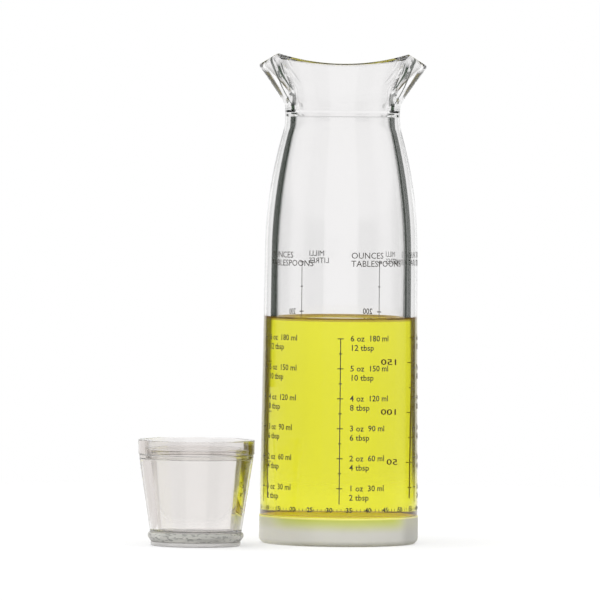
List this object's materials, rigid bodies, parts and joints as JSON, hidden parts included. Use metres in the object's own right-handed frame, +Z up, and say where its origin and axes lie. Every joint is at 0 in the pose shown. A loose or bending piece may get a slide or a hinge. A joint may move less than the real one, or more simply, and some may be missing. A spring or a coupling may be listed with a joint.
{
  "type": "salad dressing shaker bottle",
  "caption": "Clear shaker bottle with twin pouring lips on a frosted base, half full of dressing, with its conical stopper cup standing beside it.",
  "frame": {"origin": "on the bottle's own axis, at the level of the ring that the bottle stands on", "axes": "+Z up along the bottle's axis, +X to the viewer's right and through both pouring lips, +Y away from the viewer"},
  "size_m": [0.1209, 0.0884, 0.2079],
  "materials": {
    "clear_shell": "clear, polished, thick-walled moulding",
    "frosted_base": "frosted, translucent",
    "dressing": "clear yellow liquid",
    "clear_cup": "clear, polished",
    "ring": "clear, slightly smoky",
    "ink": "screen-printed ink of the measuring scales",
    "soft_seal": "soft, translucent, slightly matt"
  },
  "bodies": {
    "bottle": {"bottle_shell": "clear_shell", "base_plug": "frosted_base", "dressing": "dressing"},
    "stopper": {"stopper_cup": "clear_cup", "stopper_upper_ring": "ring", "stopper_collar": "clear_cup", "stopper_lower_seal": "soft_seal", "stopper_foot": "ring"}
  },
  "joints": [
    {"name": "stopper_lift", "type": "slide", "parent": "bottle", "child": "stopper", "axis": [0, 0, 1], "range_m": [0, 0.23]}
  ]
}
